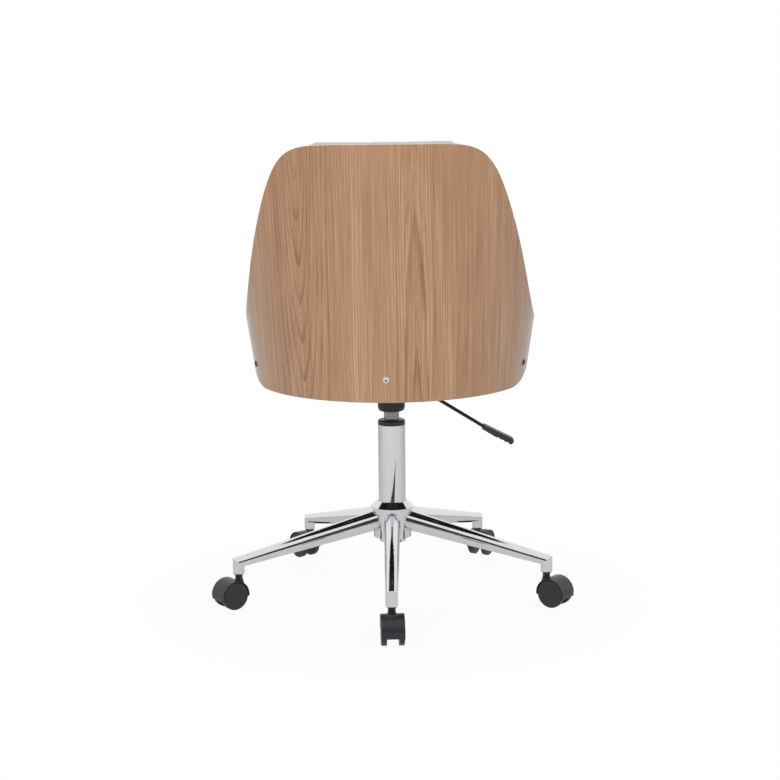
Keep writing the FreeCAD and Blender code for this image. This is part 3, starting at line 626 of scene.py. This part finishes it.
def floor():
    """Pale floor: white to the camera away from the chair, with a soft shadow, and light grey in reflections
    with painted shade that darkens away from the camera's side, for the shade on the floor under the chair.
    """
    mesh = bpy.data.meshes.new("floor")
    half = FLOOR_HALF_WIDTH
    corners = [(-half, -half, 0), (half, -half, 0), (half, half, 0), (-half, half, 0)]
    mesh.from_pydata(corners, [], [(0, 1, 2, 3)])
    piece = bpy.data.objects.new("floor", mesh)
    scene.collection.objects.link(piece)
    material, tree = bare_material("floor_paint")
    place = tree.nodes.new("ShaderNodeTexCoord").outputs["Object"]
    away = add(tree, "ShaderNodeVectorMath", {0: place}, operation="LENGTH").outputs["Value"]
    path = tree.nodes.new("ShaderNodeLightPath").outputs
    mirrored = calc(tree, "MAXIMUM", path["Is Glossy Ray"], path["Is Transmission Ray"])
    white = remap(tree, away, 0.30, 0.55, FLOOR_NEAR_CHAIR, 1.0, True)
    seen = calc(tree, "MULTIPLY", path["Is Camera Ray"], white)
    share = calc(tree, "MAXIMUM", seen, calc(tree, "MULTIPLY", mirrored, 0.9))
    ahead = add(tree, "ShaderNodeSeparateXYZ", {0: place}).outputs[1]
    # Painted shade in reflections: the floor's glow falls from FLOOR_IN_MIRROR on the camera's side to
    # FLOOR_IN_MIRROR times FLOOR_IN_MIRROR_FAR beyond the chair
    painted_mirror_shade = remap(tree, ahead, -1.2, 1.0, FLOOR_IN_MIRROR * FLOOR_IN_MIRROR_FAR, FLOOR_IN_MIRROR, True)
    tone = calc(tree, "MULTIPLY_ADD", mirrored, calc(tree, "SUBTRACT", painted_mirror_shade, 1.0), 1.0)
    diffuse = add(tree, "ShaderNodeBsdfDiffuse", {"Color": grey(0.85)})
    glow = add(tree, "ShaderNodeEmission", {"Color": grey(1.0), "Strength": tone})
    mixed = add(tree, "ShaderNodeMixShader", {0: share, 1: diffuse.outputs[0], 2: glow.outputs[0]})
    add(tree, "ShaderNodeOutputMaterial", {0: mixed.outputs[0]})
    mesh.materials.append(material)


def dark_card(name, distance, foot, reach, height, top_reach, lean):
    """Dark curved card on the camera's side that shows only in reflections, as dark lines on the chrome."""
    mesh = bpy.data.meshes.new(name)
    steps = 24
    places = []
    for number in range(steps + 1):
        share = 2 * number / steps - 1
        for level, angle in ((foot, reach * share), (height, lean + top_reach * share)):
            places.append((distance * math.sin(angle), distance * math.cos(angle), level))
    faces = [(2 * number, 2 * number + 1, 2 * number + 3, 2 * number + 2) for number in range(steps)]
    mesh.from_pydata(places, [], faces)
    piece = bpy.data.objects.new(name, mesh)
    scene.collection.objects.link(piece)
    material, tree = bare_material(name)
    glow = add(tree, "ShaderNodeEmission", {"Color": grey(1.0), "Strength": CARD_GLOW})
    add(tree, "ShaderNodeOutputMaterial", {0: glow.outputs[0]})
    mesh.materials.append(material)
    piece.visible_camera = False
    piece.visible_diffuse = False
    piece.visible_shadow = False


def world():
    """White surroundings to the camera and in reflections, softer on the object."""
    surroundings = bpy.data.worlds.new("studio")
    scene.world = surroundings
    surroundings.use_nodes = True
    tree = surroundings.node_tree
    tree.nodes.clear()
    path = tree.nodes.new("ShaderNodeLightPath").outputs
    seen = calc(tree, "MAXIMUM", path["Is Camera Ray"],
                calc(tree, "MAXIMUM", path["Is Glossy Ray"], path["Is Transmission Ray"]))
    strength = remap(tree, seen, 0.0, 1.0, WORLD_ON_CHAIR, 1.0)
    background = add(tree, "ShaderNodeBackground", {"Color": grey(1.0), "Strength": strength})
    add(tree, "ShaderNodeOutputWorld", {0: background.outputs[0]})


def lamp(name, place, size, power):
    """Soft square lamp aimed at the middle of the chair, left out of reflections."""
    light = bpy.data.lights.new(name, "AREA")
    light.size = size
    light.energy = power
    piece = bpy.data.objects.new(name, light)
    piece.location = place
    piece.rotation_euler = (LAMP_AIM - Vector(place)).to_track_quat("-Z", "Y").to_euler()
    piece.visible_glossy = False
    scene.collection.objects.link(piece)


def camera():
    """Camera behind the chair, a little to its left, looking slightly down."""
    lens = bpy.data.cameras.new("camera")
    lens.sensor_width = 36.0
    lens.lens = FOCAL_PIXELS / FRAME_PIXELS * lens.sensor_width
    lens.shift_x = -CAMERA_SHIFT_PIXELS / FRAME_PIXELS
    piece = bpy.data.objects.new("camera", lens)
    scene.collection.objects.link(piece)
    forward = Vector((math.sin(CAMERA_TURN), -math.cos(CAMERA_TURN), 0))
    right = Vector((-math.cos(CAMERA_TURN), -math.sin(CAMERA_TURN), 0))
    rise = Vector((0, 0, 1))
    ahead = forward * math.cos(CAMERA_PITCH) - rise * math.sin(CAMERA_PITCH)
    above = rise * math.cos(CAMERA_PITCH) + forward * math.sin(CAMERA_PITCH)
    side = right * math.cos(CAMERA_ROLL) - above * math.sin(CAMERA_ROLL)
    top = right * math.sin(CAMERA_ROLL) + above * math.cos(CAMERA_ROLL)
    turn = Matrix((side, top, -ahead)).transposed().to_4x4()
    place = -forward * CAMERA_DISTANCE + rise * CAMERA_HEIGHT
    piece.matrix_world = Matrix.Translation(place) @ turn
    scene.camera = piece


dress_nodes()
cloth = coated_cloth()
seat_cushion(cloth)
back_pad(cloth)
recess_shade_discs(mottled("recess_shade", (0.030, 0.030, 0.031), 0.3, 2500.0, 0.6, 0.2))
floor()
dark_card("dark_card", CARD_DISTANCE, 0.0, CARD_REACH, CARD_HEIGHT, CARD_REACH, 0.0)
dark_card("dark_wedge", WEDGE_DISTANCE, WEDGE_FOOT, WEDGE_REACH, WEDGE_HEIGHT, 0.0, WEDGE_LEAN)
world()
lamp("key", (0.6, 2.6, 0.2), 1.3, 53.0)
lamp("fill", (-2.0, 1.8, 1.6), 2.4, 16.0)
lamp("front", (0.5, -2.8, 1.9), 2.4, 34.0)
camera()
scene.view_settings.view_transform = "Standard"
